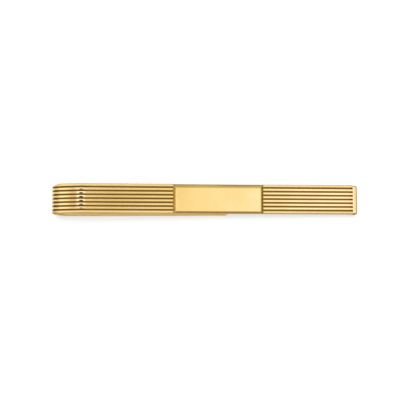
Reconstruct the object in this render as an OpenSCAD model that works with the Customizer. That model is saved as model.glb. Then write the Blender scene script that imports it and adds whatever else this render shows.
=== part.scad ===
// Slide-on tie clip: a reeded gold strip folded back on itself round a spring bow,
// with a plain engraving plate let into its front and a plain rim at its open end.
// It lies on its back leg. X runs along the clip from the bow to the open end, Y across it, Z up.
// The origin is under the middle of the clip, on the surface that the back leg lies on.

/* [Clip] */
// Overall length, from the bow to the open end
clip_l = 52.2; // [46:0.1:56]
// Width of the strip
strip_w = 5; // [4.4:0.1:6.5]
// Thickness of the strip, over its reeds
strip_t = 1.05; // [0.85:0.05:1.3]
// Angle by which the front closes towards the back leg
close_a = 4; // [2.5:0.25:4.5]
// Radius that rounds the long back edges of the strip, which face into the jaw
strip_edge_r = 0.38; // [0.1:0.02:0.45]

/* [Reeds] */
// Distance from one reed to the next
reed_pitch = 0.64; // [0.5:0.02:0.9]
// How much wider the round of a reed is than the pitch, so that its foot stays upright
reed_overlap = 0.02; // [0.01:0.01:0.06]
// Width of the flat floor left between two reeds
groove_floor_w = 0.03; // [0.02:0.01:0.08]

/* [Bow] */
// Outer radius of the nose of the bow
nose_r = 2.3; // [2.15:0.05:3]
// Outer radius of the shoulders that ease the nose into the front and into the leg
shoulder_r = 14; // [9:0.5:20]
// Angle that each shoulder turns through before the nose takes over
shoulder_a = 15; // [8:1:20]

/* [Back leg] */
// Distance from the bow's outer end to the tip of the leg
leg_l = 30.4; // [20:0.1:40]
// Thickness that the leg's inner face tapers off between the bow and the tip
leg_taper = 0.2; // [0:0.02:0.3]
// Radius of the two corners of the tip
leg_tip_r = 0.9; // [0.3:0.1:1.8]
// Length of the lead-in bevel on the inner face at the tip
lead_l = 1.6; // [0.5:0.1:4]
// Thickness that the lead-in bevel takes off at the tip
lead_t = 0.35; // [0.1:0.05:0.45]
// Length over which the outer face eases up to the tip
tip_ease_l = 1.2; // [1:0.1:3]
// Thickness that this easing takes off at the tip
tip_ease_t = 0.12; // [0.04:0.02:0.2]
// Radius that eases the long edges of the leg's outer face
leg_edge_r = 0.16; // [0.05:0.01:0.25]

/* [Engraving plate] */
// Distance from the bow's outer end to the plate
plate_x = 20.95; // [14:0.05:26]
// Length of the plate at its foot
plate_l = 14.9; // [8:0.05:20]
// Thickness of the plate
plate_t = 0.62; // [0.5:0.02:0.8]
// Width of the bevel along each long side
side_bevel_w = 0.56; // [0.2:0.02:0.9]
// Width of the bevel at each end
end_bevel_w = 0.31; // [0.1:0.01:0.6]
// Upright edge left below the bevels
plate_land = 0.17; // [0.05:0.01:0.2]
// How far each long edge of the plate stays inside the strip
plate_inset = 0.03; // [0.01:0.01:0.3]
// Depth of the seat that holds the plate, below the tops of the reeds
seat_depth = 0.46; // [0.3:0.02:0.48]
// Clearance at each end between the plate's foot and the seat
seat_gap = 0.02; // [0.01:0.01:0.1]
// Length over which the reeds slope down into the seat
seat_slope_l = 0.26; // [0.1:0.02:0.6]

/* [End rim] */
// Length of the rim along the clip
rim_l = 0.9; // [0.5:0.05:2]
// How far the rim stands over the tops of the reeds
rim_rise = 0.03; // [0:0.01:0.15]
// How far the rim turns down behind the strip
rim_drop = 0.35; // [0:0.05:0.5]
// How far the rim stands out past each side of the strip
rim_side = 0.07; // [0:0.01:0.2]
// Radius of the rounds along the rim's outer edge and along its sides
rim_edge_r = 0.28; // [0.1:0.02:0.4]
// Radius of the rim's outer corners, as seen from the front
rim_corner_r = 0.3; // [0.1:0.02:0.45]

/* [Hidden] */
$fn = 64;
// Excess by which a cutting solid passes the face that it cuts
past = 1;
gold = "#F2CC7A";
bright_gold = "#FBDD98";
rim_gold = "#F7E0A4";
leg_gold = "#DDBE86";

// The number of reeds that the strip has room for, the outer two trimmed by its sides
reed_n = round(strip_w / reed_pitch);
reed_r = (reed_pitch + reed_overlap) / 2;
reed_reach = (reed_pitch - groove_floor_w) / 2;
groove_depth = reed_r - sqrt(reed_r * reed_r - reed_reach * reed_reach);

// Centres of the bow's arcs, in a side view whose x is counted from the bow's outer end
shoulder_reach = (shoulder_r - nose_r) * sin(shoulder_a);
shoulder_lift = (shoulder_r - nose_r) * cos(shoulder_a);
nose_x = nose_r;
nose_z = shoulder_r - shoulder_lift;
shoulder_x = nose_x + shoulder_reach;
top_shoulder_z = nose_z - shoulder_lift;
leg_shoulder_z = shoulder_r;

// Where the straight front leaves the top shoulder, on the tops of the reeds
front_x = shoulder_x + shoulder_r * sin(close_a);
front_z = top_shoulder_z + shoulder_r * cos(close_a);
// The rounded end edge falls a little short of the sharp corner that sets the length
edge_loss = rim_edge_r * (cos(close_a) + sin(close_a) - 1) - rim_rise * sin(close_a);
front_l = (clip_l - front_x + edge_loss) / cos(close_a);

// The plate's place along the straight front
plate_u = (plate_x - front_x) / cos(close_a);
plate_w = strip_w - 2 * plate_inset;

// Shapes in the strip's own section: x across the strip, y up from its back

module eased_slab(w, t, r) {
    translate([-w / 2 + r, 0])
        square([w - 2 * r, t]);
    translate([-w / 2, r])
        square([w, t - r]);
    for (side = [-1, 1])
        translate([side * (w / 2 - r), r])
            circle(r = r);
}

module reeds() {
    for (i = [0 : reed_n - 1])
        translate([(i - (reed_n - 1) / 2) * reed_pitch, strip_t - reed_r])
            circle(r = reed_r);
}

// The section of the whole strip: a slab with a row of round reeds along its outer face
module reeded_section() {
    intersection() {
        eased_slab(strip_w, strip_t, strip_edge_r);
        union() {
            translate([-strip_w / 2, 0])
                square([strip_w, strip_t - groove_depth]);
            reeds();
        }
    }
}

// A slab with all its four edges rounded, by one radius along its back and another along its face
module round_slab(w, t, back_r, face_r) {
    intersection() {
        eased_slab(w, t, back_r);
        translate([0, t])
            mirror([0, 1])
                eased_slab(w, t, face_r);
    }
}

// Ways to place and sweep a section

// Everything is counted from the bow's outer end, and moved to the middle here
module from_bow() {
    translate([-clip_l / 2, 0, 0])
        children();
}

// Along the straight front: x along it, z up from the tops of its reeds
module on_front() {
    from_bow()
        translate([front_x, 0, front_z])
            rotate([0, close_a, 0])
                children();
}

// A section drawn in y and z, made l long along x
module along(l) {
    rotate([90, 0, 90])
        linear_extrude(height = l)
            children();
}

// A side view drawn in x and z, made w wide across the clip
module across(w) {
    translate([0, w / 2, 0])
        rotate([90, 0, 0])
            linear_extrude(height = w)
                children();
}

// The reeded section swept round one arc of the bow, from angle a to angle b of the side view
module reeded_arc(x, z, r, a, b) {
    translate([x, 0, z])
        rotate([90, 0, 0])
            rotate([0, 0, a])
                rotate_extrude(angle = b - a, $fn = 180)
                    translate([r - strip_t, 0])
                        rotate(-90)
                            reeded_section();
}

// Sub-parts

// Straight front strip, reeded from the bow to the rim and cut down to a plain seat under the plate
module reeded_front() {
    seat_l = plate_l + 2 * seat_gap;
    color(gold)
        on_front()
            difference() {
                translate([0, 0, -strip_t])
                    along(front_l - rim_l)
                        reeded_section();
                translate([plate_u - seat_gap, 0, 0])
                    across(strip_w + 2 * past)
                        polygon([
                            [0, -seat_depth],
                            [-seat_slope_l, 0],
                            [-seat_slope_l, past],
                            [seat_l + seat_slope_l, past],
                            [seat_l + seat_slope_l, 0],
                            [seat_l, -seat_depth]
                        ]);
            }
}

// Plain tablet with bevelled edges that meet in mitred corners
module engraving_plate() {
    color(bright_gold)
        on_front()
            translate([plate_u, 0, -seat_depth])
                intersection() {
                    along(plate_l)
                        polygon([
                            [-plate_w / 2, 0],
                            [plate_w / 2, 0],
                            [plate_w / 2, plate_land],
                            [plate_w / 2 - side_bevel_w, plate_t],
                            [-plate_w / 2 + side_bevel_w, plate_t],
                            [-plate_w / 2, plate_land]
                        ]);
                    across(plate_w)
                        polygon([
                            [0, 0],
                            [plate_l, 0],
                            [plate_l, plate_land],
                            [plate_l - end_bevel_w, plate_t],
                            [end_bevel_w, plate_t],
                            [0, plate_land]
                        ]);
                }
}

// Plan of a straight piece with both corners of its far end rounded
module rounded_end(l, w, r) {
    translate([0, -w / 2])
        square([l - r, w]);
    translate([0, -w / 2 + r])
        square([l, w - 2 * r]);
    for (side = [-1, 1])
        translate([l - r, side * (w / 2 - r)])
            circle(r = r);
}

// Plain rim that closes the reeds at the open end, with all but its inner edges rounded
module end_rim() {
    rim_w = strip_w + 2 * rim_side;
    rim_h = strip_t + rim_rise + rim_drop;
    color(rim_gold)
        on_front()
            translate([front_l - rim_l, 0, -strip_t - rim_drop])
                intersection() {
                    across(rim_w)
                        union() {
                            square([rim_l - rim_edge_r, rim_h]);
                            translate([0, rim_edge_r])
                                square([rim_l, rim_h - 2 * rim_edge_r]);
                            for (z = [rim_edge_r, rim_h - rim_edge_r])
                                translate([rim_l - rim_edge_r, z])
                                    circle(r = rim_edge_r);
                        }
                    along(rim_l)
                        round_slab(rim_w, rim_h, rim_edge_r, rim_edge_r);
                    linear_extrude(height = rim_h)
                        rounded_end(rim_l, rim_w, rim_corner_r);
                }
}

// Spring bow: the reeded strip carried round a tight nose between two easy shoulders
module spring_bow() {
    color(gold)
        from_bow()
            union() {
                reeded_arc(shoulder_x, top_shoulder_z, shoulder_r, 90 - close_a, 90 + shoulder_a);
                reeded_arc(nose_x, nose_z, nose_r, 90 + shoulder_a, 270 - shoulder_a);
                reeded_arc(shoulder_x, leg_shoulder_z, shoulder_r, 270 - shoulder_a, 270);
            }
}

// Plain back leg, flat on its outer face but for the tip. Its inner face tapers to a lead-in bevel
module back_leg() {
    straight_l = leg_l - shoulder_x;
    tip_t = strip_t - leg_taper;
    bevel_start_t = strip_t - leg_taper * (straight_l - lead_l) / straight_l;
    color(leg_gold)
        from_bow()
            translate([shoulder_x, 0, 0])
                intersection() {
                    along(straight_l)
                        round_slab(strip_w, strip_t, leg_edge_r, strip_edge_r);
                    across(strip_w)
                        polygon([
                            [0, 0],
                            [straight_l - tip_ease_l, 0],
                            [straight_l, tip_ease_t],
                            [straight_l, tip_t - lead_t],
                            [straight_l - lead_l, bevel_start_t],
                            [0, strip_t]
                        ]);
                    linear_extrude(height = strip_t)
                        rounded_end(straight_l, strip_w, leg_tip_r);
                }
}

reeded_front();
engraving_plate();
end_rim();
spring_bow();
back_leg();
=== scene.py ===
from math import asin, atan2, cos, radians, sin, sqrt

import bmesh
import bpy
from mathutils import Matrix, Vector


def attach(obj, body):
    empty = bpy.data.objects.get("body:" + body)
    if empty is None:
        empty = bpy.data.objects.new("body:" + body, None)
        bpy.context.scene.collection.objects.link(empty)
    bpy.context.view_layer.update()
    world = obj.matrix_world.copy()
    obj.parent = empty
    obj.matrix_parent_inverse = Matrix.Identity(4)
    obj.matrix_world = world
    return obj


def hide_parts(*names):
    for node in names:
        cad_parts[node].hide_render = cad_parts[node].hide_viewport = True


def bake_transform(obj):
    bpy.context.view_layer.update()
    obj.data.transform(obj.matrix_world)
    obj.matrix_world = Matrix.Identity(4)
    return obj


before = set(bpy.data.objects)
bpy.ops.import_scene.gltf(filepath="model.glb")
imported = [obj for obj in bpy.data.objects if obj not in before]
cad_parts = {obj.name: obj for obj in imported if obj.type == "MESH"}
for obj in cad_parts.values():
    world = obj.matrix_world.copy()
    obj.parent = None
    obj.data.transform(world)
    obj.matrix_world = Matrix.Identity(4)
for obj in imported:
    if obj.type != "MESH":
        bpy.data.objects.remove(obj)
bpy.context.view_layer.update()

# Sizes in mm, as in the part's source. X is counted from the middle of the clip.
MM = 0.001
clip_l, strip_w, strip_t, close_a, strip_edge_r = 52.2, 5, 1.05, radians(4), 0.38
reed_pitch, reed_overlap, groove_floor_w = 0.64, 0.02, 0.03
nose_r, shoulder_r, shoulder_a = 2.3, 14, radians(15)
leg_l, leg_taper, leg_tip_r, lead_l, lead_t = 30.4, 0.2, 0.9, 1.6, 0.35
tip_ease_l, tip_ease_t = 1.2, 0.12
plate_x, plate_l, plate_t, side_bevel_w, end_bevel_w = 20.95, 14.9, 0.62, 0.56, 0.31
plate_land, plate_inset, seat_depth, seat_gap, seat_slope_l = 0.17, 0.03, 0.46, 0.02, 0.26
rim_l, rim_rise, rim_drop, rim_side, rim_edge_r = 0.9, 0.03, 0.35, 0.07, 0.28

reed_n = round(strip_w / reed_pitch)
reed_r = (reed_pitch + reed_overlap) / 2
reed_foot = asin((reed_pitch - groove_floor_w) / 2 / reed_r)
groove_depth = reed_r * (1 - cos(reed_foot))
outer_y = reed_pitch * (reed_n - 1) / 2
# Small round left by polishing where the outer reeds are cut off at the strip's sides
side_round_r = 0.06
# Round at the cut ends of the reeds
cut_round_r = 0.12
# How far the plate's face was cut off the middle, towards the side that faces the lens, and how much wider it is
face_shift, face_growth = -0.225, 0.035
# How much the plate's bevels bulge
pillow = 0.034
# How far in from its edges the wheel rolled the plate's face off, and how deep
roll_l, roll_off = 0.42, 0.007
# Rounds of the plate's face and of its mitres, and the round left on other cut edges
face_edge_r, mitre_r, cut_edge_r = 0.06, 0.02, 0.03
# How much further in the rim's side away from the lens stands, and how much less the rim covers of the reeds' ends
rim_shift, rim_trim = 0.13, 0.1
# Rounds of the leg's inner and outer edges. The inner one follows its lead-in.
leg_rounds = ((1, 0.36, 8), (-1, 0.13, 4))
# Slope down to the seat on the open end's side of the plate
open_slope_l = 0.17
# Rounds of the rim's long edges and of its outer edge, as the wheel left them
rim_side_r, rim_end_r = 0.42, 0.3
# The bow's two corners are worn round, the one away from the lens more. The wear grows this fast round the nose.
worn_r = {1: 0.62, -1: 0.4}
wear_rate = 1.6

shoulder_reach = (shoulder_r - nose_r) * sin(shoulder_a)
shoulder_lift = (shoulder_r - nose_r) * cos(shoulder_a)
nose_x, nose_z = nose_r - clip_l / 2, shoulder_r - shoulder_lift
shoulder_x = nose_x + shoulder_reach
top_shoulder_z = nose_z - shoulder_lift
front_x = shoulder_x + shoulder_r * sin(close_a)
front_z = top_shoulder_z + shoulder_r * cos(close_a)
edge_loss = rim_edge_r * (cos(close_a) + sin(close_a) - 1) - rim_rise * sin(close_a)
front_l = (clip_l / 2 - front_x + edge_loss) / cos(close_a)
seam_u = front_l - rim_l + rim_trim
plate_u = (plate_x - clip_l / 2 - front_x) / cos(close_a)
plate_w = strip_w - 2 * plate_inset

# The straight front's own space: x along it, z up from the tops of its reeds
ON_FRONT = Matrix.Translation((front_x, 0, front_z)) @ Matrix.Rotation(close_a, 4, "Y")


# Camera

def place_camera():
    """Nearly straight above the clip, a little in front of it, with the frame shifted back onto the clip"""
    place = Vector((-0.89, -13.727, 107.5)) * MM
    tilt, roll = radians(3), radians(-0.185)
    back = Vector((0, -sin(tilt), cos(tilt)))
    right, up = Vector((1, 0, 0)), Vector((0, cos(tilt), sin(tilt)))
    right, up = right * cos(roll) + up * sin(roll), up * cos(roll) - right * sin(roll)
    data = bpy.data.cameras.new("camera")
    data.sensor_width = 36
    data.lens = 55.6
    data.shift_y = 0.1197
    data.clip_start = 0.001
    data.clip_end = 20
    camera = bpy.data.objects.new("camera", data)
    camera.matrix_world = Matrix.Translation(place) @ Matrix((right, up, back)).transposed().to_4x4()
    bpy.context.scene.collection.objects.link(camera)
    bpy.context.scene.camera = camera


place_camera()


# Nodes

class Wire:
    """A node's output, which Python's operators join to others through Math nodes"""

    def __init__(self, bench, socket):
        self.bench, self.socket = bench, socket

    def out(self, name):
        return Wire(self.bench, self.socket.node.outputs[name])

    def __add__(self, other):
        return self.bench.maths("ADD", self, other)

    def __sub__(self, other):
        return self.bench.maths("SUBTRACT", self, other)

    def __rsub__(self, other):
        return self.bench.maths("SUBTRACT", other, self)

    def __mul__(self, other):
        return self.bench.maths("MULTIPLY", self, other)

    def __truediv__(self, other):
        return self.bench.maths("DIVIDE", self, other)

    __radd__, __rmul__ = __add__, __mul__


class Bench:
    """The node tree of one material or of the world"""

    def __init__(self, tree):
        self.tree = tree
        tree.nodes.clear()

    def node(self, kind, settings=None, inputs=None, output=0):
        node = self.tree.nodes.new(kind)
        for name, value in (settings or {}).items():
            if name == "stops":
                ramp = node.color_ramp
                while len(ramp.elements) < len(value):
                    ramp.elements.new(1)
                for element, (place, colour) in zip(ramp.elements, value):
                    element.position = place
                    element.color = colour if isinstance(colour, tuple) else (colour, colour, colour, 1)
            else:
                setattr(node, name, value)
        for name, value in (inputs or {}).items():
            if isinstance(value, Wire):
                self.tree.links.new(value.socket, node.inputs[name])
            else:
                node.inputs[name].default_value = value
        return Wire(self, node.outputs[output]) if node.outputs else None

    def maths(self, operation, *values):
        return self.node("ShaderNodeMath", {"operation": operation}, dict(enumerate(values)))

    def vector(self, operation, *values):
        return self.node("ShaderNodeVectorMath", {"operation": operation}, dict(enumerate(values)))

    def colours(self, factor, first, second):
        return self.node("ShaderNodeMix", {"data_type": "RGBA"}, {0: factor, 6: first, 7: second}, 2)

    def step(self, value, low, high):
        """0 below low, 1 above high, and smooth between them"""
        return self.node("ShaderNodeMapRange", {"interpolation_type": "SMOOTHSTEP"}, {0: value, 1: low, 2: high})

    def noise(self, place, scale, detail=2, rough=0.5):
        return self.node("ShaderNodeTexNoise", {"noise_dimensions": "3D"},
                         {"Vector": place, "Scale": scale, "Detail": detail, "Roughness": rough})

    def turned(self, place, angle, stretch):
        """A place turned about its z axis, then stretched"""
        return self.node("ShaderNodeMapping", {"vector_type": "TEXTURE"},
                         {"Vector": place, "Rotation": (0, 0, angle), "Scale": stretch})


# Finishes. All places are in mm.

pale_gold = (0.985, 0.72, 0.31, 1)
warm_gold = (0.96, 0.675, 0.262, 1)
# Painted shade for the grooves: these darker golds stand in for the shade that falls in them
painted_shade_groove_gold = (0.38, 0.235, 0.032, 1)
painted_shade_bow_groove_gold = (0.27, 0.16, 0.02, 1)
# Painted light on the cut ends of the reeds and the plate, and painted shade on those that face the bow
painted_light_cut_gold = (0.965, 0.82, 0.41, 1)
painted_shade_cut_gold = (0.74, 0.58, 0.2, 1)
# Painted shade, deepest in the grooves round the nose and by the rim
deepest_groove_shade = (0.1, 0.05, 0.004, 1)


def gold_finish(name, polish, line_depth, scratch_depth, dulled=0, groove_shade_tone=None, cut_ends=False):
    """Solid gold: lengthwise polishing lines, hairline scratches, handling haze and a slow drift of tone. Handling
    dulls the strip's sides more than its middle. A groove tone paints shade into the grooves, and cut ends get
    painted light, and painted shade on those that face the bow."""
    material = bpy.data.materials.new(name)
    material.use_nodes = True
    bench = Bench(material.node_tree)
    coordinates = bench.node("ShaderNodeTexCoord")
    place = bench.vector("MULTIPLY", coordinates.out("Object"), (1000, 1000, 1000))
    strip = place
    if groove_shade_tone:
        strip = bench.node("ShaderNodeAttribute", {"attribute_name": "strip"}).out("Vector")

    drift = bench.noise(place, 0.21, 3)
    haze = bench.noise(place, 1.3, 4, 0.6)
    lines = bench.noise(bench.turned(strip, 0, (7.0, 0.06, 0.06)), 1, 2)
    scratches = 0
    for angle, seat in ((0.35, 0.0), (-0.6, 3.1), (1.25, 7.7)):
        field = bench.noise(bench.turned(bench.vector("ADD", strip, (seat, seat, 0)), angle, (2.0, 0.025, 1.0)), 1, 1)
        scratches = bench.step(field, 0.68, 0.73) + scratches
    scratches = scratches * bench.step(bench.noise(place, 0.6, 2), 0.42, 0.62)

    tone = bench.colours(bench.step(drift * 0.7 + haze * 0.3, 0.36, 0.66), warm_gold, pale_gold)
    rough = polish + 0.04 * bench.step(haze, 0.45, 0.75) + 0.04 * lines + 0.16 * scratch_depth * scratches
    height = line_depth * lines - scratch_depth * scratches + bench.noise(place, 0.45, 2)
    strip_place = bench.node("ShaderNodeSeparateXYZ", {}, {0: strip})
    if dulled:
        off_middle = strip_place.out("Y") / outer_y
        rough = rough + dulled * off_middle * off_middle * off_middle * off_middle
    if groove_shade_tone:
        # Painted shade: the grooves are darker still round the nose and, less so, where the rim stops them
        at_rim = bench.step(strip_place, seam_u - 0.6, seam_u - 0.2)
        at_nose = bench.step(0 - strip_place, 5.1, 5.7)
        deeper_shade = 0.45 * at_rim + 0.7 * at_nose
        depth = 0.015 * deeper_shade - strip_place.out("Z")
        inside = 1 - bench.step(bench.maths("ABSOLUTE", strip_place.out("Y")), outer_y, outer_y + 0.05)
        above_floor = 1 - bench.step(depth, groove_depth + 0.01, groove_depth + 0.06)
        groove = inside * bench.step(depth, 0.02, 0.1) * above_floor
        # Painted shade: the grooves take the darker gold
        tone = bench.colours(groove * (0.9 + 0.1 * haze), tone, bench.colours(deeper_shade, groove_shade_tone, deepest_groove_shade))
        rough = rough + 0.15 * groove
    if cut_ends:
        # The steep ends of the reeds and of the plate were cut and are out of the wheel's reach, so they stay rougher.
        # Their paler gold is painted light, and the darker gold on those that face the bow is painted shade
        along = bench.node("ShaderNodeSeparateXYZ", {}, {0: coordinates.out("Normal")}).out("X")
        cut = bench.step(bench.maths("ABSOLUTE", along), 0.5, 0.75)
        tone = bench.colours(cut, tone, painted_light_cut_gold)
        tone = bench.colours(bench.step(0 - along, 0.5, 0.75), tone, painted_shade_cut_gold)
        rough = rough + 0.26 * cut
    bump = bench.node("ShaderNodeBump", {}, {"Strength": 1, "Distance": 0.0000012, "Height": height})
    metal = bench.node("ShaderNodeBsdfPrincipled", {},
                       {"Base Color": tone, "Metallic": 1, "Roughness": rough, "Normal": bump})
    bench.node("ShaderNodeOutputMaterial", {}, {"Surface": metal})
    return material


reeded_gold = gold_finish("reeded_gold", 0.05, 0.35, 0.5, 0.32, painted_shade_groove_gold, cut_ends=True)
bow_gold = gold_finish("bow_gold", 0.03, 0.15, 0.08, 0.32, painted_shade_bow_groove_gold)
plate_gold = gold_finish("plate_gold", 0.05, 0.08, 0.4, cut_ends=True)
rim_gold = gold_finish("rim_gold", 0.06, 0.2, 0.6)
leg_gold = gold_finish("leg_gold", 0.1, 0.5, 0.5, 0.32)


# Modelling

def points(geom):
    return [item for item in geom if isinstance(item, bmesh.types.BMVert)]


def lines_of(geom):
    return [item for item in geom if isinstance(item, bmesh.types.BMEdge)]


def arc_to(bm, tip, y, z, turn, steps):
    """Carries the last point of an outline round a centre"""
    spun = bmesh.ops.spin(bm, geom=[tip], cent=(0, y, z), axis=(1, 0, 0), angle=turn, steps=steps)
    return points(spun["geom_last"])[0]


def line_to(bm, tip, y, z):
    """Draws an outline on in a straight line"""
    tip = bmesh.ops.extrude_vert_indiv(bm, verts=[tip])["verts"][0]
    tip.co = (0, y, z)
    return tip


def reeded_outline(bm):
    """Outline of the reeded strip at x = 0, with the tops of its reeds at z = 0"""
    side = strip_w / 2
    # The polished round touches the outer reed from inside and the strip's side
    round_y = side - side_round_r
    lean = asin((round_y - outer_y) / (reed_r - side_round_r))
    round_z = -reed_r + (reed_r - side_round_r) * cos(lean)
    start = tip = bm.verts.new((0, -side, round_z))
    tip = arc_to(bm, tip, -round_y, round_z, lean - radians(90), 3)
    for reed in range(reed_n):
        y = (reed - (reed_n - 1) / 2) * reed_pitch
        first = lean if reed == 0 else reed_foot
        last = lean if reed == reed_n - 1 else reed_foot
        if reed > 0:
            tip = line_to(bm, tip, y - reed_r * sin(reed_foot), -groove_depth)
        tip = arc_to(bm, tip, y, -reed_r, -first - last, 14)
    tip = arc_to(bm, tip, round_y, round_z, lean - radians(90), 3)
    tip = line_to(bm, tip, side, strip_edge_r - strip_t)
    tip = arc_to(bm, tip, side - strip_edge_r, strip_edge_r - strip_t, -radians(90), 8)
    tip = line_to(bm, tip, strip_edge_r - side, -strip_t)
    tip = arc_to(bm, tip, strip_edge_r - side, strip_edge_r - strip_t, -radians(90), 8)
    bm.edges.new((tip, start))
    return list(bm.edges)


def mark_strip(bm, where):
    """Keeps each point's place on the unrolled strip for the finishes"""
    layer = bm.verts.layers.float_vector.new("strip")
    for vert in bm.verts:
        vert[layer] = where(vert.co)


def make_piece(bm, name, body, node, material):
    """Turns a bmesh in mm into a finished piece that stands for a CAD node"""
    bmesh.ops.remove_doubles(bm, verts=bm.verts, dist=1e-5)
    bmesh.ops.recalc_face_normals(bm, faces=bm.faces)
    bmesh.ops.scale(bm, vec=(MM, MM, MM), verts=bm.verts)
    mesh = bpy.data.meshes.new(name)
    bm.to_mesh(mesh)
    bm.free()
    mesh.materials.append(material)
    mesh.shade_smooth()
    mesh.set_sharp_from_angle(angle=radians(32))
    piece = bpy.data.objects.new(name, mesh)
    bpy.context.scene.collection.objects.link(piece)
    hardened = piece.modifiers.new("flat faces stay flat", "WEIGHTED_NORMAL")
    hardened.keep_sharp = True
    hardened.weight = 50
    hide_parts(node)
    if body:
        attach(piece, body)
    return piece


def long_edges(bm, keep):
    return [edge for edge in bm.edges if keep(*(vert.co for vert in edge.verts))]


def soften(bm, edges, radius, segments, clamp=True):
    bmesh.ops.bevel(bm, geom=edges, offset=radius, offset_type="OFFSET", segments=segments, profile=0.5,
                    affect="EDGES", clamp_overlap=clamp, material=-1)


# Pieces

def reeded_strip():
    """The straight front, reeded on both sides of the plate's seat"""
    bm = bmesh.new()
    seat_start, seat_end = plate_u - seat_gap, plate_u + plate_l + seat_gap
    for start, end, lean, slope_l in ((0, seat_start, 1, seat_slope_l), (seam_u, seat_end, -1, open_slope_l)):
        steep = atan2(seat_depth, slope_l)
        half = bmesh.new()
        outline = reeded_outline(half)
        cap = bmesh.ops.contextual_create(half, geom=outline)["faces"]
        far = bmesh.ops.extrude_face_region(half, geom=cap)["geom"]
        bmesh.ops.translate(half, vec=(end - start, 0, 0), verts=points(far))
        bmesh.ops.translate(half, vec=(start, 0, 0), verts=half.verts)
        # The reeds turn down to the seat over a small round
        round_x = end - lean * (cut_round_r + cos(steep) * (seat_depth - cut_round_r)) / sin(steep)
        for turn in (steep / 4, steep / 2, 3 * steep / 4, steep):
            facing = Vector((lean * sin(turn), 0, cos(turn)))
            bmesh.ops.bisect_plane(half, geom=half.verts[:] + half.edges[:] + half.faces[:], dist=1e-6,
                                   plane_co=Vector((round_x, 0, -cut_round_r)) + cut_round_r * facing,
                                   plane_no=facing, clear_outer=True)
            bmesh.ops.holes_fill(half, edges=[edge for edge in half.edges if edge.is_boundary], sides=0)
        # The end below the seat is opened, so that the seat's floor can run across from one half to the other
        ends = [face for face in half.faces if all(abs(vert.co.x - end) < 1e-4 for vert in face.verts)]
        bmesh.ops.delete(half, geom=ends, context="FACES_ONLY")
        temporary = bpy.data.meshes.new("half")
        half.to_mesh(temporary)
        half.free()
        bm.from_mesh(temporary)
        bpy.data.meshes.remove(temporary)
    rims = [edge for edge in bm.edges if edge.is_boundary]
    bmesh.ops.bridge_loops(bm, edges=rims)
    bmesh.ops.recalc_face_normals(bm, faces=bm.faces)
    mark_strip(bm, lambda co: co)
    bmesh.ops.transform(bm, matrix=ON_FRONT, verts=bm.verts)
    return make_piece(bm, "reeded_strip", "front", "reeded_front", reeded_gold)


def reeded_bow():
    """The reeded strip carried round the nose between its two shoulders"""
    bm = bmesh.new()
    ring = reeded_outline(bm)
    first_ring = ring
    bmesh.ops.transform(bm, matrix=ON_FRONT, verts=bm.verts)
    geom = bm.verts[:] + bm.edges[:]
    for x, z, turn, steps in ((shoulder_x, top_shoulder_z, close_a + shoulder_a, 24),
                              (nose_x, nose_z, radians(180) - 2 * shoulder_a, 60),
                              (shoulder_x, shoulder_r, shoulder_a, 18)):
        spun = bmesh.ops.spin(bm, geom=geom, cent=(x, 0, z), axis=(0, 1, 0), angle=-turn, steps=steps)
        geom = spun["geom_last"]
    for cap in (first_ring, lines_of(geom)):
        bmesh.ops.contextual_create(bm, geom=cap)

    nose = Vector((nose_x, 0, nose_z))
    top = Vector((shoulder_x, 0, top_shoulder_z))
    low = Vector((shoulder_x, 0, shoulder_r))
    top_l = shoulder_r * (close_a + shoulder_a)
    nose_l = nose_r * (radians(180) - 2 * shoulder_a)

    def unrolled(co):
        away = Vector((co.x - nose.x, 0, co.z - nose.z))
        # Angle from straight up, growing towards the bow's end and on to the leg
        angle = Vector((0, 1)).angle_signed(Vector((away.x, away.z)))
        angle = -angle if away.x < 0 else angle
        if away.x < 0 and shoulder_a <= abs(angle) <= radians(180) - shoulder_a + 1e-4:
            return Vector((-top_l - nose_r * (abs(angle) - shoulder_a), co.y, away.length - nose_r))
        centre, flip = (top, 1) if co.z > nose_z else (low, -1)
        away = Vector((co.x - centre.x, 0, co.z - centre.z))
        turn = asin(-away.x / away.length)
        if flip > 0:
            return Vector((-shoulder_r * (turn + close_a), co.y, away.length - shoulder_r))
        return Vector((-top_l - nose_l - shoulder_r * (shoulder_a - turn), co.y, away.length - shoulder_r))

    mark_strip(bm, unrolled)
    for vert in bm.verts:
        worn = worn_r[1 if vert.co.y > 0 else -1]
        over = abs(vert.co.y) - (strip_w / 2 - worn)
        away = Vector((vert.co.x - nose_x, 0, vert.co.z - nose_z))
        reach = (-away.x / away.length - sin(shoulder_a)) / (1 - sin(shoulder_a))
        if over > 0 and reach > 0 and away.x < 0:
            vert.co -= away.normalized() * (worn - sqrt(max(worn * worn - over * over, 0))) * min(1, wear_rate * reach)
    piece = make_piece(bm, "reeded_bow", None, "spring_bow", bow_gold)
    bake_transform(piece)
    return piece


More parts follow.
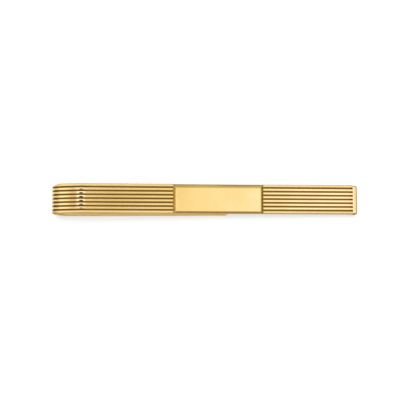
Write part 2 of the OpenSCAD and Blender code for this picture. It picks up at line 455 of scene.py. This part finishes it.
def bevelled_plate():
    """The plain tablet, whose bevels meet in mitred corners"""
    bm = bmesh.new()
    bmesh.ops.create_cube(bm, size=1)
    bmesh.ops.scale(bm, vec=(plate_l, plate_w, plate_land), verts=bm.verts)
    bmesh.ops.translate(bm, vec=(0, 0, plate_land / 2), verts=bm.verts)
    top = [face for face in bm.faces if face.normal.z > 0.9]
    raised = points(bmesh.ops.extrude_face_region(bm, geom=top)["geom"])
    bmesh.ops.delete(bm, geom=[face for face in top if face.is_valid], context="FACES_ONLY")
    bmesh.ops.translate(bm, vec=(0, 0, plate_t - plate_land), verts=raised)
    face_share = (1 - 2 * end_bevel_w / plate_l, 1 - (2 * side_bevel_w - face_growth) / plate_w, 1)
    bmesh.ops.scale(bm, vec=face_share, verts=raised)
    bmesh.ops.translate(bm, vec=(0, face_shift, 0), verts=raised)
    mitres = long_edges(bm, lambda a, b: abs(a.z - b.z) > plate_t / 2)
    bmesh.ops.subdivide_edges(bm, edges=mitres, cuts=5, use_grid_fill=True)
    for vert in bm.verts:
        rise = (vert.co.z - plate_land) / (plate_t - plate_land)
        vert.co.z += pillow * 4 * max(rise, 0) * (1 - rise)
    face = [face for face in bm.faces if face.normal.z > 0.9]
    rim = list(face[0].verts)
    bmesh.ops.inset_region(bm, faces=face, thickness=roll_l, depth=0)
    bmesh.ops.translate(bm, vec=(0, 0, -roll_off), verts=rim)
    rim_z = plate_t - roll_off
    soften(bm, long_edges(bm, lambda a, b: min(a.z, b.z) > plate_t - 0.01 and abs(a.z + b.z - 2 * rim_z) < 1e-4),
           face_edge_r, 4)
    soften(bm, long_edges(bm, lambda a, b: min(a.z, b.z) > plate_land - 0.01 and abs(a.z - b.z) > 0.02), mitre_r, 2)
    seated = ON_FRONT @ Matrix.Translation((plate_u + plate_l / 2, 0, -seat_depth))
    bmesh.ops.transform(bm, matrix=seated, verts=bm.verts)
    return make_piece(bm, "bevelled_plate", "front", "engraving_plate", plate_gold)


def polished_rim():
    """The plain rim at the open end, with all but its inner edges rounded"""
    bm = bmesh.new()
    rim_h = strip_t + rim_rise + rim_drop
    rim_w = strip_w + 2 * rim_side - rim_shift
    bmesh.ops.create_cube(bm, size=1)
    bmesh.ops.scale(bm, vec=(front_l - seam_u, rim_w, rim_h), verts=bm.verts)
    middle = ((seam_u + front_l) / 2, -rim_shift / 2, rim_rise - rim_h / 2)
    bmesh.ops.translate(bm, vec=middle, verts=bm.verts)
    near, outer, upper = seam_u + 1e-4, front_l - 1e-4, rim_rise - 0.02
    soften(bm, long_edges(bm, lambda a, b: abs(a.y - b.y) < 1e-4 and abs(a.z - b.z) < 1e-4), rim_side_r, 8)
    soften(bm, long_edges(bm, lambda a, b: min(a.x, b.x) > outer), rim_end_r, 8, False)
    soften(bm, long_edges(bm, lambda a, b: max(a.x, b.x) < near and min(a.z, b.z) > upper), cut_edge_r, 2)
    bmesh.ops.transform(bm, matrix=ON_FRONT, verts=bm.verts)
    return make_piece(bm, "polished_rim", "front", "end_rim", rim_gold)


def plain_leg():
    """The back leg, tapered on its inner face to a rounded tip with a lead-in"""
    bm = bmesh.new()
    leg_end = leg_l - clip_l / 2
    straight_l = leg_end - shoulder_x
    bmesh.ops.create_cube(bm, size=1)
    bmesh.ops.scale(bm, vec=(straight_l, strip_w, strip_t), verts=bm.verts)
    bmesh.ops.translate(bm, vec=(leg_end - straight_l / 2, 0, strip_t / 2), verts=bm.verts)
    soften(bm, long_edges(bm, lambda a, b: min(a.x, b.x) > leg_end - 1e-4 and abs(a.z - b.z) > 0.2), leg_tip_r, 12)
    taper = leg_taper / straight_l
    start_t = strip_t - taper * (straight_l - lead_l)
    lead_drop = start_t - (strip_t - leg_taper - lead_t)

    def shave(point, slope):
        cut = bmesh.ops.bisect_plane(bm, geom=bm.verts[:] + bm.edges[:] + bm.faces[:], dist=1e-6,
                                     plane_co=point, plane_no=slope, clear_outer=True)
        bmesh.ops.contextual_create(bm, geom=[edge for edge in lines_of(cut["geom_cut"]) if edge.is_boundary])

    shave((shoulder_x, 0, strip_t), (taper, 0, 1))
    shave((leg_end - lead_l, 0, start_t), (lead_drop / lead_l, 0, 1))
    # The rounds run along both sides and round the tip, but not across the joint with the bow
    for facing, radius, segments in leg_rounds:
        bmesh.ops.recalc_face_normals(bm, faces=bm.faces)
        soften(bm, [edge for edge in bm.edges if max(vert.co.x for vert in edge.verts) > shoulder_x + 1e-4
                    and max(facing * face.normal.z for face in edge.link_faces) > 0.7
                    and min(abs(face.normal.z) for face in edge.link_faces) < 0.1], radius, segments, False)
    shave((leg_end - tip_ease_l, 0, 0), (tip_ease_t / tip_ease_l, 0, -1))
    bmesh.ops.recalc_face_normals(bm, faces=bm.faces)
    sharp = [edge for edge in bm.edges if edge.is_manifold and edge.calc_face_angle() > radians(35)
             and min(vert.co.x for vert in edge.verts) > shoulder_x + 1e-4]
    soften(bm, sharp, cut_edge_r, 2)
    return make_piece(bm, "plain_leg", "leg", "back_leg", leg_gold)


reeded_strip()
reeded_bow()
bevelled_plate()
polished_rim()
plain_leg()


# Studio

def stage_sheet(name, bm, material):
    mesh = bpy.data.meshes.new(name)
    bm.to_mesh(mesh)
    bm.free()
    mesh.materials.append(material)
    sheet = bpy.data.objects.new(name, mesh)
    bpy.context.scene.collection.objects.link(sheet)
    return sheet


def seen_in_metal_only(sheet):
    sheet.visible_camera = False
    sheet.visible_diffuse = False
    sheet.visible_shadow = False
    sheet.visible_transmission = False


def seen_directly(bench):
    """1 where the lens, a mirroring surface or a clear one looks at this, and 0 where it only lights other things"""
    path = bench.node("ShaderNodeLightPath")
    mirrored = bench.maths("MAXIMUM", path, path.out("Is Glossy Ray"))
    return bench.maths("MAXIMUM", mirrored, path.out("Is Transmission Ray"))


def lay_floor():
    """Plain pale floor, which the lens and the metal see close to white with the clip's shadow on it"""
    material = bpy.data.materials.new("pale_floor")
    material.use_nodes = True
    bench = Bench(material.node_tree)
    matt = bench.node("ShaderNodeBsdfDiffuse", {}, {"Color": (0.87, 0.93, 0.975, 1)})
    white = bench.node("ShaderNodeEmission", {}, {"Color": (1, 1, 1, 1), "Strength": 1})
    floor = bench.node("ShaderNodeMixShader", {}, {0: seen_directly(bench) * 0.66, 1: matt, 2: white})
    bench.node("ShaderNodeOutputMaterial", {}, {"Surface": floor})
    bm = bmesh.new()
    bmesh.ops.create_grid(bm, x_segments=1, y_segments=1, size=3)
    bmesh.ops.translate(bm, vec=(0, 0, -0.02 * MM), verts=bm.verts)
    stage_sheet("floor", bm, material)


def raise_tent():
    """Light tent round the clip, seen only in the metal. Its levels go by the angle towards each end of the clip and
    by the angle towards each side, both counted from straight up"""
    material = bpy.data.materials.new("light_tent")
    material.use_nodes = True
    bench = Bench(material.node_tree)
    way = bench.vector("NORMALIZE", bench.node("ShaderNodeTexCoord").out("Object"))
    way = bench.node("ShaderNodeSeparateXYZ", {}, {0: way})
    endwise = bench.maths("ARCSINE", way) / radians(1)
    sideways = bench.maths("ARCTAN2", way.out("Y"), way.out("Z")) / radians(1)
    # Dim above the middle, with two daylight boxes: one over the bow, one over the open end
    ends = [(-90, 1.2, 0.1), (-75, 1.4, 0.35), (-64, 0.97, 0), (-50, 0.94, 0), (-44, 1.0, 0), (-40, 1.22, 0.35),
            (-30, 1.15, 0.2), (-26, 0.98, 0), (-24, 0.84, 0), (-22.3, 0.93, 0), (-20, 0.79, 0), (-17.8, 0.85, 0.2),
            (-16.3, 1.38, 0.75), (-7.5, 1.42, 0.7), (-5.5, 1.0, 0.2), (-3.9, 0.88, 0.05), (-2.5, 0.78, -0.12),
            (3.5, 0.86, -0.15), (5.5, 0.97, -0.1), (9, 1.04, 0), (13.3, 1.06, 0.2), (14.3, 1.14, 0.4),
            (16.5, 1.24, 0.55), (20, 1.38, 0.8), (22.3, 1.42, 0.9), (23.4, 0.93, 0.1), (28, 0.98, 0.2),
            (34, 1.15, 0.6), (41, 0.9, 0.3), (50, 0.48, 0), (68, 0.5, 0), (80, 0.8, 0.2)]
    # Towards the sides the tent grows dark and warm, over the open end sooner than over the bow
    sides = [(-90, 0.2), (-80, 0.22), (-70, 0.3), (-62, 0.45), (-52, 0.95), (-40, 1.04), (-12, 1.05), (2, 1), (14, 1),
             (28, 1.06), (46, 1.0), (56, 0.8), (64, 0.66), (74, 0.6), (84, 0.46), (90, 0.4)]
    open_sides = [(-90, 0.2), (-70, 0.25), (-60, 0.35), (-46, 0.6), (-32, 1.0), (0, 1.03), (20, 1.02), (40, 0.95),
                  (48, 0.92), (55, 0.84), (62, 0.68), (70, 0.52), (78, 0.4), (90, 0.3)]

    def warmed(level):
        return level / 2, level * (1 - 0.08 * max(1 - level, 0)) / 2, level * (1 - 0.85 * max(1 - level, 0)) / 2, 1

    light = bench.node("ShaderNodeValToRGB", {"stops": [
        ((angle + 90) / 180, (level / 2, level * (1 + 0.05 * cool) / 2, level * (1 + 0.65 * cool) / 2, 1))
        for angle, level, cool in ends]}, {0: endwise / 180 + 0.5})
    fall, open_fall = [bench.node("ShaderNodeValToRGB", {"stops": [
        ((angle + 90) / 180, warmed(level))
        for angle, level in stops]}, {0: sideways / 180 + 0.5}) for stops in (sides, open_sides)]
    fall = bench.colours(bench.step(endwise, 5.8, 7.4), fall, open_fall)
    fall = bench.colours(bench.step(endwise, 28, 42), fall, warmed(0.85))
    # Slit between the ceiling and the box over the bow, narrowing to both its ends
    across, length = (endwise + 10.9) / 3.3, (sideways + 20) / 42
    slit = bench.step(across * across + length * length, 1.0, 0.72)
    light = bench.node("ShaderNodeVectorMath", {"operation": "SCALE"},
                       {0: bench.vector("MULTIPLY", light, fall), "Scale": 1 - 0.96 * slit})
    glow = bench.node("ShaderNodeEmission", {}, {"Color": light, "Strength": 4})
    bench.node("ShaderNodeOutputMaterial", {}, {"Surface": glow})
    bm = bmesh.new()
    bmesh.ops.create_icosphere(bm, subdivisions=5, radius=1)
    bmesh.ops.bisect_plane(bm, geom=bm.verts[:] + bm.edges[:] + bm.faces[:], dist=1e-6, plane_co=(0, 0, -0.001),
                           plane_no=(0, 0, 1), clear_inner=True)
    seen_in_metal_only(stage_sheet("light_tent", bm, material))


def lay_cards():
    """Dark cards on the floor along both sides of the clip and before its open end, seen only in the metal. They draw
    its lower edges, while the floor close to the clip stays white in it"""
    material = bpy.data.materials.new("dark_card")
    material.use_nodes = True
    bench = Bench(material.node_tree)
    shade = bench.node("ShaderNodeEmission", {}, {"Color": (0.34, 0.30, 0.22, 1), "Strength": 1})
    bench.node("ShaderNodeOutputMaterial", {}, {"Surface": shade})
    bm = bmesh.new()
    for left, right, near, far in ((-300, 300, 16, 304), (-300, 300, -304, -4.2), (27, 300, -4.2, 16),
                                   (10, 300, -4.2, -2.8)):
        place = Matrix.Translation(((left + right) / 2 * MM, (near + far) / 2 * MM, -0.01 * MM))
        place = place @ Matrix.Diagonal(((right - left) * MM, (far - near) * MM, 1, 1))
        bmesh.ops.create_grid(bm, x_segments=1, y_segments=1, size=0.5, matrix=place)
    seen_in_metal_only(stage_sheet("dark_cards", bm, material))


def light_studio():
    world = bpy.data.worlds.new("studio")
    bpy.context.scene.world = world
    world.use_nodes = True
    bench = Bench(world.node_tree)
    fill = bench.node("ShaderNodeBackground", {}, {"Color": (1, 1, 1, 1), "Strength": 0.3})
    white = bench.node("ShaderNodeBackground", {}, {"Color": (1, 1, 1, 1), "Strength": 1})
    sky = bench.node("ShaderNodeMixShader", {}, {0: seen_directly(bench), 1: fill, 2: white})
    bench.node("ShaderNodeOutputWorld", {}, {"Surface": sky})

    lamp = bpy.data.lights.new("overhead_softbox", "AREA")
    lamp.shape = "RECTANGLE"
    lamp.size, lamp.size_y = 0.2, 0.2
    lamp.energy = 3.6
    softbox = bpy.data.objects.new("overhead_softbox", lamp)
    softbox.visible_glossy = False
    softbox.visible_camera = False
    away = Vector((-0.03, 0.075, 0.6))
    softbox.matrix_world = Matrix.Translation(away) @ away.to_track_quat("Z", "Y").to_matrix().to_4x4()
    bpy.context.scene.collection.objects.link(softbox)
    raise_tent()


lay_floor()
lay_cards()
light_studio()

bpy.context.scene.view_settings.view_transform = "Standard"
